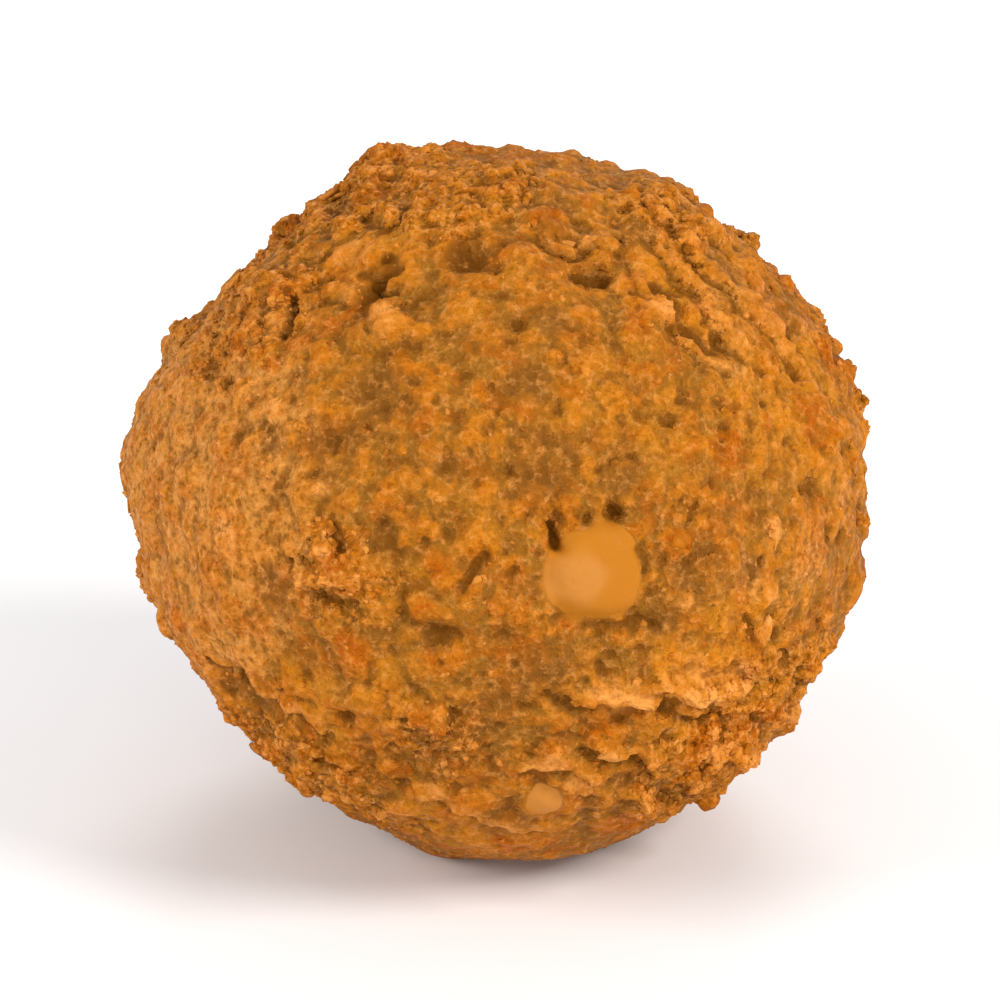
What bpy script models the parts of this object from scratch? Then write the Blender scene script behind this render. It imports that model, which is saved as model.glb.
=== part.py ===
"""A single fried falafel ball, about 40 mm across, resting on a small flat spot.

The ball is one solid of chickpea dough. Its crust has flattened sides, knobs, an exposed piece of
chickpea, fried-open bubbles, layered folds and a torn, flaky patch, all of which are relief in that
one solid. The origin is in the middle of the resting spot, +Z is up and the side described below
faces -Y and a little up.
"""

import math
import random

import bmesh
import bpy
from mathutils import Vector, noise

# Driving dimensions, in metres.
BALL_WIDTH = 0.0394
BALL_DEPTH = 0.0386
BALL_HEIGHT = 0.0376
REST_SPOT_RADIUS = 0.0062

# The described side leans this far up from level, so that it is seen from a little above.
FACE_TILT = math.radians(22.0)

# Mesh fineness: the form is laid out on a fine ball and then thinned to this many triangles.
FINE_SUBDIVISIONS = 7
CRUST_TRIANGLES = 11500

CRUST_COLOUR = (0.50, 0.205, 0.042, 1.0)
CRUST_ROUGHNESS = 0.72
CRUST_METALLIC = 0.0

# Every feature below is placed by its clock (degrees round the described side, 0 on the right and
# 90 at the top) and its lean (degrees away from the middle of that side, 90 on the outline and 180
# on the far side). Widths are half widths and heights stand off the ball, both in millimetres.

# Sides flattened while the ball was shaped: clock, lean, half width, depth.
FLATTENED_SIDES = (
    (137, 88, 7.0, 1.15),
    (216, 90, 8.0, 1.40),
    (239, 88, 4.0, 0.55),
    (330, 88, 4.5, 0.70),
    (52, 84, 6.5, 0.45),
    (8, 86, 3.0, 0.35),
    (10, 20, 9.0, 0.50),
    (95, 150, 9.0, 0.90),
    (250, 140, 8.0, 1.10),
    (350, 128, 7.0, 0.70),
)

# Rounded knobs and ledges that stand proud: clock, lean, half width, height.
KNOBS = (
    (110, 84, 2.6, 0.95),
    (121, 76, 1.7, 0.55),
    (152, 88, 2.4, 0.55),
    (172, 84, 5.0, 0.45),
    (22, 84, 4.0, 0.40),
    (122, 36, 2.1, 0.55),
    (84, 52, 2.4, 0.30),
    (340, 38, 2.2, 0.25),
    (7, 30, 3.0, 0.28),
    (209, 25, 2.5, 0.35),
    (196, 82, 1.6, 0.55),
    (246, 86, 1.8, 0.50),
    (320, 80, 2.4, 0.50),
    (278, 56, 1.8, 0.30),
    (63, 66, 2.2, 0.35),
)

# Pieces of coarsely ground chickpea that lie bare in the crust: clock, lean, half width, height.
CHICKPEA_BITS = (
    (326, 19, 2.75, 0.65),
    (284, 118, 2.4, 0.45),
    (60, 125, 2.9, 0.50),
    (165, 140, 2.2, 0.45),
)

# Bubbles that fried open: clock, lean, half width, depth.
OPEN_BUBBLES = (
    (343, 9, 1.00, 0.75),
    (356, 18, 0.85, 0.60),
    (118, 43, 1.10, 0.95),
    (97, 42, 1.50, 0.60),
    (76, 50, 1.10, 0.60),
    (67, 43, 1.00, 0.60),
    (51, 48, 1.30, 0.75),
    (38, 47, 1.00, 0.70),
    (3, 58, 0.90, 0.75),
    (355, 68, 0.95, 0.60),
    (217, 60, 1.70, 0.95),
    (235, 46, 1.20, 0.55),
    (117, 66, 1.40, 0.75),
    (132, 62, 1.50, 0.60),
    (250, 22, 1.00, 0.40),
    (165, 45, 1.00, 0.35),
    (310, 63, 1.50, 0.90),
    (328, 66, 1.30, 0.70),
)

# Long folds that follow the outline on the upper right: clock and lean of the middle, half length
# round the clock in degrees, spacing of the folds in millimetres and their height.
FOLDS = (34, 68, 34, 2.3, 0.20)
FOLD_BAND = 19.0

# The torn patch at the lower right: clock, lean, half width, spacing of its ledges and their height.
TORN_PATCH = (314, 56, 7.0, 3.0, 1.05)
LEDGE_DROP_SHARE = 0.28

# Features of the same kinds are strewn over the far side by a seeded draw.
FAR_SIDE_SEED = 11
FAR_SIDE_BUBBLES = 26
FAR_SIDE_KNOBS = 14
FAR_SIDE_LEANS = (78.0, 176.0)
FAR_BUBBLE_HALF_WIDTH = (0.9, 1.7)
FAR_BUBBLE_DEPTH = (0.35, 0.85)
FAR_KNOB_HALF_WIDTH = (1.4, 3.0)
FAR_KNOB_HEIGHT = (0.25, 0.60)

# Uneven crust over the whole ball: size of the lumps and how far they stand out, in millimetres.
BROAD_SWELL = (11.0, 0.45)
CRUST_LUMPS = (4.6, 0.55)
CRUMB_GRAINS = (2.1, 0.75)
GRAIN_EDGE = 0.6

# Round the resting spot the crust is pressed smooth out to this many spot radii.
PRESSED_REACH = 1.3

MM = 0.001
HALF_AXES = Vector((BALL_WIDTH / 2, BALL_DEPTH / 2, BALL_HEIGHT / 2))
MEAN_RADIUS = sum(HALF_AXES) / 3

FACE_RIGHT = Vector((1.0, 0.0, 0.0))
FACE_OUT = Vector((0.0, -math.cos(FACE_TILT), math.sin(FACE_TILT)))
FACE_UP = Vector((0.0, math.sin(FACE_TILT), math.cos(FACE_TILT)))


def clear_scene():
    """Empties the file that the script runs in."""
    for existing in list(bpy.data.objects):
        bpy.data.objects.remove(existing, do_unlink=True)


def direction_of(clock, lean):
    """The way from the ball's centre to a feature, as a unit vector."""
    round_face = math.cos(math.radians(clock)) * FACE_RIGHT + math.sin(math.radians(clock)) * FACE_UP
    return math.cos(math.radians(lean)) * FACE_OUT + math.sin(math.radians(lean)) * round_face


def distance_mm(direction, centre):
    """How far apart two directions lie on the crust, in millimetres."""
    return math.acos(max(-1.0, min(1.0, direction.dot(centre)))) * MEAN_RADIUS / MM


def dome(share):
    """1 in the middle of a feature, falling smoothly to 0 at its edge."""
    return (1.0 - share * share) ** 2 if share < 1.0 else 0.0


def plateau(share):
    """Like a dome, with a fuller middle and a steeper edge, as a bare piece of chickpea has."""
    return 1.0 - share**4 if share < 1.0 else 0.0


def swell(share):
    """A soft bell, for sides that were pressed flat."""
    return math.exp(-share * share)


def placed(features):
    """Features with their clock and lean turned into a direction."""
    return [(direction_of(clock, lean), width, height) for clock, lean, width, height in features]


def far_side_features():
    """Open bubbles and knobs for the side that isn't described above, spread by a seeded draw."""
    draw = random.Random(FAR_SIDE_SEED)
    nearest, furthest = (math.cos(math.radians(lean)) for lean in FAR_SIDE_LEANS)

    def strewn(count, widths, heights):
        made = []
        for index in range(count):
            lean = math.degrees(math.acos(nearest + (furthest - nearest) * (index + 0.5) / count))
            clock = index * 137.5 + draw.uniform(-25.0, 25.0)
            made.append((direction_of(clock, lean), draw.uniform(*widths), draw.uniform(*heights)))
        return made

    bubbles = strewn(FAR_SIDE_BUBBLES, FAR_BUBBLE_HALF_WIDTH, FAR_BUBBLE_DEPTH)
    knobs = strewn(FAR_SIDE_KNOBS, FAR_KNOB_HALF_WIDTH, FAR_KNOB_HEIGHT)
    return bubbles, knobs


def raised(direction, features, profile):
    """How far these features lift the crust here, in millimetres."""
    total = 0.0
    for centre, half_width, height in features:
        share = distance_mm(direction, centre) / half_width
        total += height * profile(share)
    return total


def fold_relief(direction):
    """Layered folds that run along the outline, in millimetres."""
    clock, lean, half_length, spacing, height = FOLDS
    here_lean = math.degrees(math.acos(max(-1.0, min(1.0, direction.dot(FACE_OUT)))))
    here_clock = math.degrees(math.atan2(direction.dot(FACE_UP), direction.dot(FACE_RIGHT)))
    along = (here_clock - clock) / half_length
    across = (here_lean - lean) / FOLD_BAND
    if abs(along) >= 1.0 or abs(across) >= 1.0:
        return 0.0
    wander = noise.noise(direction * 4.0) * 1.6
    depth_mm = math.radians(here_lean) * MEAN_RADIUS / MM + wander
    return height * math.sin(2.0 * math.pi * depth_mm / spacing) * dome(abs(along)) * dome(abs(across))


def torn_relief(direction):
    """Ledges of torn crust, each one steep on its lower side, in millimetres."""
    clock, lean, half_width, spacing, height = TORN_PATCH
    share = distance_mm(direction, direction_of(clock, lean)) / half_width
    if share >= 1.0:
        return 0.0
    wander = noise.noise(direction * 7.0) * 1.5
    drop_mm = direction.dot(FACE_UP) * MEAN_RADIUS / MM + wander
    step = (drop_mm / spacing) % 1.0
    rise = step / LEDGE_DROP_SHARE if step < LEDGE_DROP_SHARE else (1.0 - step) / (1.0 - LEDGE_DROP_SHARE)
    return height * (rise - 0.5) * (1.0 - share * share)


def crust_relief(point_mm):
    """Swell, lumps and crumbly grains of the crust at this place, in millimetres."""
    swell_size, swell_height = BROAD_SWELL
    lump_size, lump_height = CRUST_LUMPS
    grain_size, grain_height = CRUMB_GRAINS
    broad = noise.noise(point_mm / swell_size) * swell_height
    lumps = noise.noise(point_mm / lump_size + Vector((7.1, 3.3, 1.9))) * lump_height
    nearest, second = noise.voronoi(point_mm / grain_size)[0][:2]
    grains = (min(second - nearest, GRAIN_EDGE) - GRAIN_EDGE / 2) * grain_height
    return broad + lumps + grains


def crust_point(direction, groups):
    """Where the crust lies in this direction from the ball's centre."""
    base = Vector((direction.x * HALF_AXES.x, direction.y * HALF_AXES.y, direction.z * HALF_AXES.z))
    sides, knobs, bits, bubbles = groups
    bare = raised(direction, bits, plateau)
    covered = max(0.0, 1.0 - 2.5 * bare)
    relief = crust_relief(base / MM) * covered
    relief -= raised(direction, sides, swell)
    relief += raised(direction, knobs, dome)
    relief += bare
    relief -= raised(direction, bubbles, dome)
    relief += fold_relief(direction) + torn_relief(direction)
    from_spot = math.hypot(base.x, base.y) / (REST_SPOT_RADIUS * PRESSED_REACH)
    pressed = dome(from_spot) if base.z < 0.0 else 0.0
    return base + direction * relief * MM * (1.0 - pressed)


def fine_crust():
    """The crust laid over a fine sphere, as a mesh around the ball's centre."""
    far_bubbles, far_knobs = far_side_features()
    groups = (
        placed(FLATTENED_SIDES),
        placed(KNOBS) + far_knobs,
        placed(CHICKPEA_BITS),
        placed(OPEN_BUBBLES) + far_bubbles,
    )
    ball = bmesh.new()
    bmesh.ops.create_icosphere(ball, subdivisions=FINE_SUBDIVISIONS, radius=1.0)
    for vertex in ball.verts:
        vertex.co = crust_point(vertex.co.normalized(), groups)
    mesh = bpy.data.meshes.new("fine_crust")
    ball.to_mesh(mesh)
    ball.free()
    return mesh


def thinned(mesh, triangles):
    """The same form as a new mesh with about this many triangles."""
    holder = bpy.data.objects.new("fine_crust", mesh)
    bpy.context.scene.collection.objects.link(holder)
    thin = holder.modifiers.new("thin", "DECIMATE")
    thin.ratio = triangles / len(mesh.polygons)
    evaluated = holder.evaluated_get(bpy.context.evaluated_depsgraph_get())
    result = bpy.data.meshes.new_from_object(evaluated)
    bpy.data.objects.remove(holder, do_unlink=True)
    bpy.data.meshes.remove(mesh)
    return result


def settle(mesh):
    """Presses the resting spot level, at height 0, and centres the ball over the origin."""
    level = -HALF_AXES.z * math.sqrt(1.0 - (REST_SPOT_RADIUS / HALF_AXES.x) ** 2)
    across = [vertex.co.x for vertex in mesh.vertices]
    along = [vertex.co.y for vertex in mesh.vertices]
    middle = Vector(((min(across) + max(across)) / 2, (min(along) + max(along)) / 2, level))
    for vertex in mesh.vertices:
        vertex.co.z = max(vertex.co.z, level)
        vertex.co -= middle


def crust_material():
    """Matt, golden-brown fried crust."""
    material = bpy.data.materials.new("fried_crust")
    material.use_nodes = True
    shader = material.node_tree.nodes["Principled BSDF"]
    shader.inputs["Base Color"].default_value = CRUST_COLOUR
    shader.inputs["Roughness"].default_value = CRUST_ROUGHNESS
    shader.inputs["Metallic"].default_value = CRUST_METALLIC
    return material


def make_falafel():
    """The falafel ball as one object."""
    mesh = thinned(fine_crust(), CRUST_TRIANGLES)
    mesh.name = "falafel"
    settle(mesh)
    mesh.shade_smooth()
    mesh.materials.append(crust_material())
    falafel = bpy.data.objects.new("falafel", mesh)
    bpy.context.scene.collection.objects.link(falafel)
    return falafel


clear_scene()
make_falafel()
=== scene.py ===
"""Dresses the fried falafel ball: its crumbly crust, the crumbs and torn flakes in it, and a small stage.

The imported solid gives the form. The crust is a finer skin drawn over that form and roughened, and
thousands of small crumbs and flakes are half sunk in it, as on fried chickpea dough.

Places on the ball are given by clock and lean, as seen from the side that the camera looks at. Clock
is in degrees round that side, 0 on the right and 90 at the top. Lean is in degrees away from its
middle, 90 on the outline and 180 on the far side.
"""

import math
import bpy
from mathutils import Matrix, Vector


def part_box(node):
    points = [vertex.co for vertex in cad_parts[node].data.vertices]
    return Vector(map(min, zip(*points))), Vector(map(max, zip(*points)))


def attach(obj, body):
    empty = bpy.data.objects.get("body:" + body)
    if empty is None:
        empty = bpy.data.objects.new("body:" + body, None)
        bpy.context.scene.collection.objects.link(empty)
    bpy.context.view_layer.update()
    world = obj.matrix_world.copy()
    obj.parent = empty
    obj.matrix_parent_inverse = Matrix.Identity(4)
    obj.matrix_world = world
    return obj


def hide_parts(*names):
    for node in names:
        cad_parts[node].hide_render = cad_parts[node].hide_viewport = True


bl_info = {
    "name": "Falafel Ball",
    "version": (1, 0, 0),
    "blender": (4, 5, 0),
    "location": "3D View > Sidebar > Falafel",
    "description": "Dresses a fried falafel ball with crust, crumbs and flakes",
    "category": "Object",
}

import bpy
import numpy as np
from bpy.props import FloatProperty, FloatVectorProperty, IntProperty, PointerProperty
from mathutils import Vector, kdtree, noise

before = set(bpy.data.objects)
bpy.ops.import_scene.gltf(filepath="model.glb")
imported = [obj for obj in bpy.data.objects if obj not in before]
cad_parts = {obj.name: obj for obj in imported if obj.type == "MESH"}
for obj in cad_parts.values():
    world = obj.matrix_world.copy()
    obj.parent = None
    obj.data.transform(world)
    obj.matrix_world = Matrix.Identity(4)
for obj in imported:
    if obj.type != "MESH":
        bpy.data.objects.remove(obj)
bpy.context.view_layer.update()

MM = 0.001
NODE = "falafel"

# The middle that clock and lean are measured from, and the ball's mean radius.
BALL_CENTRE = np.array((0.00029, 0.00017, 0.01784))
LOW, HIGH = (np.array(corner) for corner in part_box(NODE))
MEAN_RADIUS = float(np.mean(HIGH - LOW)) / 2

# The side that clock and lean describe: it faces -Y and leans up by this angle.
FACE_TILT = math.radians(22.0)
FACE_RIGHT = np.array((1.0, 0.0, 0.0))
FACE_OUT = np.array((0.0, -math.cos(FACE_TILT), math.sin(FACE_TILT)))
FACE_UP = np.array((0.0, math.sin(FACE_TILT), math.cos(FACE_TILT)))

# Bubbles that fried open and hollows between clumps: clock, lean, half width and depth in millimetres.
PITS = (
    (98, 42, 1.7, 0.48), (157, 51.5, 0.5, 0.41), (171, 69.5, 0.4, 0.32), (161, 28.5, 0.45, 0.32),
    (173, 30, 0.4, 0.27), (84, 28.5, 0.53, 0.32), (100, 10.5, 0.62, 0.32), (147, 9.5, 0.62, 0.23),
    (76, 5, 0.45, 0.27), (2, 55, 0.55, 0.54), (354, 62.5, 0.45, 0.41), (347, 46, 0.4, 0.41),
    (23, 61.5, 0.53, 0.45), (18, 39.5, 0.4, 0.36), (332, 59.5, 0.75, 0.54), (227, 53.5, 0.45, 0.36),
    (209, 65.5, 0.53, 0.45), (235, 46, 0.62, 0.32), (231, 53.5, 0.45, 0.27), (235, 57.5, 0.45, 0.27),
    (195, 18.5, 0.88, 0.32), (245, 23.5, 0.88, 0.32), (258, 35.5, 0.53, 0.36), (267, 41.5, 0.4, 0.27),
    (252, 54, 0.4, 0.32), (200, 39.5, 1.5, 0.23), (58, 42, 0.4, 0.27), (20, 49.5, 0.4, 0.27),
    (170, 11, 0.45, 0.18), (77, 45, 0.45, 0.27), (137, 73, 0.88, 0.45), (119, 70, 0.88, 0.45),
    (350, 12, 0.5, 0.23), (352, 18, 0.58, 0.45), (348, 14, 0.38, 0.32), (25, 57.5, 0.4, 0.27),
    (29, 34, 0.5, 0.23), (24, 31, 0.5, 0.18), (57, 17, 0.4, 0.23), (41, 46.5, 0.4, 0.27),
    (222, 66, 0.75, 0.36),
)

# Slits and long hollows: half width and depth in millimetres, and places by clock and lean.
SLITS = (
    (0.3, 0.9, ((324, 11), (328, 9.8), (334, 9))),
    (0.75, 0.65, ((115, 44), (119, 44), (124, 39))),
    (0.55, 0.5, ((71, 40.5), (68, 40.5), (65, 43))),
    (0.5, 0.35, ((83, 48.5), (80, 49), (78, 48.5))),
    (0.4, 0.5, ((136, 51.5), (138, 49.5), (142, 46.5))),
    (1, 0.45, ((215, 62.5), (219, 61), (223, 58))),
    (0.31, 0.34, ((339, 22.5), (336, 24.5), (333, 25.5))),
    (0.29, 0.22, ((308, 26.5), (314, 28))),
    (0.36, 0.34, ((315, 28.5), (320, 29.5), (321, 32))),
    (0.5, 0.45, ((54, 46), (50, 44.5), (46, 44.5))),
    (0.41, 0.49, ((41, 43.5), (36, 44))),
    (0.34, 0.41, ((190, 26), (195, 25), (199, 24.5))),
    (0.36, 0.34, ((208, 31.5), (212, 30), (214, 27.5))),
    (0.38, 0.3, ((245, 14.5), (248, 11.5), (256, 9))),
    (0.31, 0.34, ((82, 48), (78, 47.5), (74, 48))),
    (0.26, 0.19, ((17, 16.5), (19, 18.5), (19, 21))),
    (0.29, 0.26, ((352, 29.5), (358, 31.5), (4, 32.5))),
    (0.48, 0.41, ((297, 65), (301, 67.5), (304, 74))),
    (0.36, 0.41, ((292, 48), (294, 50.5), (298, 52))),
    (0.41, 0.45, ((308, 44.5), (310, 50), (312, 53.5), (316, 58))),
    (0.36, 0.38, ((334, 48), (331, 50), (329, 53))),
    (0.3, 0.26, ((213, 24), (215, 21.5), (223, 21))),
    (0.34, 0.34, ((44, 72), (39, 70), (33, 67), (27, 64))),
    (0.26, 0.22, ((42, 50.5), (35, 54), (27, 56.5))),
    (0.31, 0.22, ((276, 33.5), (284, 32), (289, 36.5))),
)

# Clumps that stand out: clock, lean, half width and height in millimetres.
CLUMPS = (
    (129, 88, 1.2, 0.9), (116, 88, 1.1, 0.6), (136, 54, 0.8, 0.55), (123, 34, 1.3, 0.55),
    (148, 53, 1.1, 0.3), (133, 48, 0.45, 0.35), (158, 39, 0.6, 0.3), (185, 46.5, 1.3, 0.2),
    (200, 30.5, 1.1, 0.36), (205, 24, 1.4, 0.42), (218, 33, 0.8, 0.32), (229, 35.5, 0.9, 0.32),
    (252, 36.5, 0.9, 0.42), (237, 20.5, 0.8, 0.32), (224, 52, 0.6, 0.4), (248, 51.5, 0.9, 0.32),
    (252, 60, 0.9, 0.32), (269, 16, 0.6, 0.32), (50, 42, 0.9, 0.42), (80, 50.5, 0.9, 0.45),
    (64, 72.5, 1.3, 0.4), (88, 41, 0.6, 0.35), (69, 24, 0.4, 0.3), (16, 62, 1.6, 0.3),
    (356, 47, 0.5, 0.5), (346, 28.5, 0.9, 0.28), (338, 35.5, 1.1, 0.28), (332, 34, 0.4, 0.3),
    (277, 54, 1, 0.25), (285, 51.5, 0.7, 0.3), (21, 80, 0.6, 0.4), (7, 74, 0.6, 0.35),
    (357, 82, 0.6, 0.3), (37, 85, 0.6, 0.4), (46, 86, 0.6, 0.4), (55, 75, 0.6, 0.4),
    (151, 85, 0.8, 0.5), (200, 75.5, 0.8, 0.5), (314, 72.5, 0.8, 0.4), (336, 77.5, 0.6, 0.5),
    (234, 15, 0.6, 0.3), (90, 62, 1, 0.3), (103, 58, 1.2, 0.35), (68, 48.5, 0.9, 0.3),
    (232, 8.5, 0.7, 0.2), (140, 115, 1.6, 0.6), (40, 118, 1.4, 0.5), (250, 118, 1.5, 0.5),
    (90, 150, 1.7, 0.5), (330, 140, 1.3, 0.5), (200, 125, 1.5, 0.5),
)

# Torn ledges in the crust, from their left end to their right: the height of the edge and the depth of
# the crevice under it in millimetres, how far up the ledge reaches, and its places by clock and lean.
LEDGES = (
    (0.55, 0.45, 1.9, ((291, 35), (295, 37), (298, 40), (304, 40.5), (310, 43), (313, 47))),
    (0.7, 0.6, 2, ((309, 40), (311, 41), (313, 45), (316, 49.5), (319, 52.5), (323, 58.5))),
    (0.45, 0.6, 1.1, ((290, 46), (292, 47), (296, 50), (299, 54), (305, 53.5))),
    (0.45, 0.45, 1.2, ((306, 60), (309, 66), (313, 72), (316, 80))),
    (0.4, 0.6, 1, ((294, 62), (299, 66), (303, 68), (306, 75))),
    (0.4, 0.3, 1.2, ((274, 48), (276, 47), (282, 46.5), (286, 49.5), (288, 55.5))),
    (0.35, 0.3, 1.2, ((192, 30), (196, 33), (201, 34), (206, 31), (210, 27), (213, 23))),
    (0.35, 0.3, 1.2, ((258, 56), (268, 62), (280, 64))),
    (0.35, 0.45, 1.2, ((83, 46.5), (76, 46.5), (69, 49))),
    (0.3, 0.35, 1, ((130, 44), (122, 41), (113, 42))),
    (0.32, 0.32, 1, ((232, 50), (224, 54), (214, 60))),
    (0.16, 0.22, 1, ((64, 50), (52, 43), (40, 41), (28, 45))),
    (0.18, 0.24, 1, ((62, 57), (50, 50.5), (38, 49), (26, 53))),
    (0.24, 0.28, 1, ((68, 65), (56, 59), (44, 57), (32, 59), (20, 66))),
    (0.26, 0.3, 1, ((66, 73), (54, 67), (41, 65.5), (27, 70))),
)

# A ledge this tall shows its pale inside along the whole edge, and every edge is rounded by this much.
# Both are in millimetres.
TALL_LEDGE = 0.60
EDGE_SOFTNESS = 0.16

# Torn flakes: clock, lean, length and width in millimetres, the turn of the long side on the described
# side in degrees, and how far the free edge stands off, in degrees.
FLAKES = (
    (353, 48, 1.7, 0.8, 80, 16), (333, 52.5, 2.2, 0.8, 100, 18), (322, 54.5, 1.5, 0.8, 28, 18),
    (315, 45.5, 1.6, 0.8, 350, 14), (294, 47.5, 1.6, 0.8, 345, 16), (313, 66, 1.3, 0.8, 20, 16),
    (286, 52.5, 1.5, 0.9, 330, 12), (76, 48, 1.2, 0.6, 340, 14), (150, 120, 1.3, 0.8, 20, 10),
    (40, 135, 1.2, 0.8, 70, 12), (250, 110, 1.2, 0.7, 300, 12), (310, 150, 1.1, 0.7, 340, 10),
)

# Soft patches of colour in the crust: clock, lean and half width in millimetres.
OLIVE_PATCHES = (
    (98, 41.5, 1.1), (63, 54, 1.2), (160, 27.5, 1.7), (139, 25.5, 1.9), (42, 8.5, 2.4),
    (147, 9.5, 0.8), (77, 19, 1.5), (200, 39.5, 1.3), (195, 18.5, 1), (245, 23.5, 1),
    (266, 35.5, 1.7), (283, 27.5, 2.1), (338, 34.5, 1.7), (324, 32.5, 1.3), (344, 43, 1.1),
    (68, 42.5, 1.2), (14, 20, 1.5), (47, 60, 1.2), (32, 67, 1), (138, 80, 0.9),
    (119, 70, 0.9), (219, 62, 1), (270, 60.5, 1.6), (332, 59.5, 0.9), (254, 41, 0.9),
    (74, 30, 1.1), (165, 37.5, 0.9), (294, 55, 1), (100, 140, 3), (230, 130, 2.6),
    (330, 120, 2.4), (20, 150, 2.4), (180, 100, 2.2), (60, 105, 2),
)
TOASTED_PATCHES = (
    (109, 66.5, 1.3), (127, 92, 1.6), (136, 54.5, 0.8), (148, 53, 1), (149, 44, 0.6),
    (126, 39.5, 0.9), (203, 25.5, 1.6), (225, 34, 1.3), (253, 36, 1.1), (346, 28.5, 1),
    (12, 39, 1.3), (52, 36.5, 1), (80, 49.5, 1.1), (14, 61, 1.7), (291, 70.5, 1.8),
    (278, 48, 0.9), (319, 66, 1.6), (310, 58.5, 1.6), (224, 52, 0.8), (249, 51, 0.8),
    (271, 16, 0.7), (236, 20.5, 0.8), (227, 14, 0.7), (299, 22.5, 0.8), (36, 84, 1.6),
    (23, 76, 1.5), (40, 66.5, 1), (32, 62.5, 1), (294, 42, 1.3), (107, 80, 1.6),
    (200, 67, 1.2), (187, 46, 1.2), (273, 67, 1.7), (160, 100, 3.4), (60, 120, 3.6),
    (280, 125, 3.6), (200, 150, 3.4),
)
PALE_PATCHES = (
    (123, 34, 0.9), (322, 51, 1.6), (316, 45, 1.6), (301, 38.5, 1.2), (334, 52, 0.6),
    (355, 47, 0.5), (286, 51.5, 0.8), (256, 54.5, 0.9), (50, 42.5, 0.8), (157, 39.5, 0.5),
    (34, 53.5, 0.8), (295, 49, 0.5), (314, 78, 0.7), (196, 27.5, 0.4), (187, 46, 1),
    (252, 60, 0.7), (120, 52.5, 1.2), (332, 33.5, 0.5), (341, 49.5, 0.6), (27, 49, 0.5),
    (120, 120, 1.4), (20, 110, 1.2), (300, 110, 1.4), (240, 150, 1.4),
)

# Bare chickpea: five patches that make the large piece in the described side, a small piece below it, and
# three pieces on the far side, by clock, lean and half width in millimetres.
BARE_CHICKPEA = (
    (322, 18.2, 2.75), (328, 14.5, 1.3), (337, 19, 1.3), (321, 23.5, 1.3), (307, 18, 1.3),
    (278, 53.5, 1.15), (284, 118, 2.4), (60, 125, 2.9), (165, 140, 2.2),
)

# Where the bare pieces are palest: clock, lean and half width in millimetres.
PALEST_CHICKPEA = (
    (316, 16, 1.4), (279, 53, 1.3), (282, 115, 1.3), (58, 122, 1.5), (162, 138, 1.2),
)

# Bits of ground chickpea: how much their outlines are bent, how steeply their tops lean, the share of a
# bit's width that slopes down to its edge, and the mark below which a bit lies flush.
RUBBLE_WARP = 0.35
RUBBLE_SLOPE = 0.8
RUBBLE_GAP = 0.30
RUBBLE_FLUSH = 0.35

# The noise that bends those outlines follows the clock unless it is given a seed.
RUBBLE_SEED = 4

# A pit this deep or deeper, in millimetres, is painted fully dark inside as shade.
DARK_DEPTH = 1.05

# Rounds of smoothing that take the solid's facets out of the skin, everywhere and then near the floor.
SMOOTH_ROUNDS = 7
FOOT_SMOOTH_ROUNDS = 120

# Heights over the floor in millimetres. The second smoothing is full below the first one and ends at the
# second. The ball's weight presses the relief flat below the third and leaves it free above the fourth.
FOOT_HEIGHT = 1.0
SIDE_HEIGHT = 5.0
PRESSED_HEIGHT = 0.2
FREE_HEIGHT = 2.5

# A place is as hollow as it lies below the crust that this many rounds of smoothing leave, and wholly
# hollow, or wholly proud, from this distance on, in millimetres.
HOLLOW_ROUNDS = 10
HOLLOW_REACH = 0.15

# Painted light and shade: how much lighter a crumb's top is than its foot, as a share of the way from
# hollow to proud.
CRUMB_PAINTED_TOP_LIGHT = 0.15

# Kinds of crumb: the piece's name, its width and count among the sizes, how finely a crumb is modelled, how
# much rarer it is where the crust isn't crumbly, how far sandy crust counts as crumbly, and its seed.
CRUMB_KINDS = (
    ("coarse_crumbs", "coarse_crumb", "coarse_crumbs", 2, 0.95, 0.0, 21),
    ("fine_crumbs", "fine_crumb", "fine_crumbs", 2, 0.85, 0.3, 22),
    ("grit", "grit", "grits", 1, 0.55, 0.9, 23),
    ("grains", "grain", "grains", 1, 0.40, 1.0, 24),
    ("dust", "dust", "specks", 1, 0.95, 1.0, 25),
)

# How many crumbs of each kind, and how many flakes, are modelled before they are copied.
SHAPES_OF_A_KIND = 8

# How far each crumb is sunk in, as a share of its width: the least, the most, and what smooth crust adds.
CRUMB_SUNK = (0.12, 0.30, 0.14)

# How far under the crust's surface the middles of placed and of small flakes lie, in millimetres.
FLAKE_SUNK = 0.02
SMALL_FLAKE_SUNK = 0.05

# Seeds of the random draws of bubbles, of flakes and of the flakes' shapes.
BUBBLE_SEED = 5
FLAKE_SEED = 31
FLAKE_SHAPE_SEED = 40

# Crumbly stretches of the crust: clock, lean and half width in millimetres.
CRUMBLY_STRETCHES = (
    (118, 80, 8), (100, 60, 5.5), (55, 88, 4), (20, 90, 3.6), (316, 68, 7.5),
    (235, 70, 6), (145, 58, 5), (205, 28, 2.8), (255, 42, 3), (60, 62, 3),
    (30, 130, 9), (190, 120, 10), (300, 145, 9),
)

# Paler, drier crust: the left flank, and smaller patches.
SANDY_FLANK = (178, 66, 13.0)
SANDY_PATCHES = (
    (0, 69, 1.5), (350, 58, 1.8), (44, 51.5, 1.3), (30, 46, 0.9), (28, 73.5, 1),
    (342, 44, 1.2),
)

# Stretches that fried to an even gold, partly painted light that brightens the sides round the middle:
# clock, lean and half width in millimetres.
GOLD_AND_PAINTED_LIGHT_STRETCHES = (
    (8, 60, 8), (55, 62, 6), (318, 52, 6.5), (105, 45, 5.5), (190, 46, 5),
    (232, 42, 4), (262, 62, 4.5), (40, 150, 8), (220, 140, 8),
)

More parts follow.
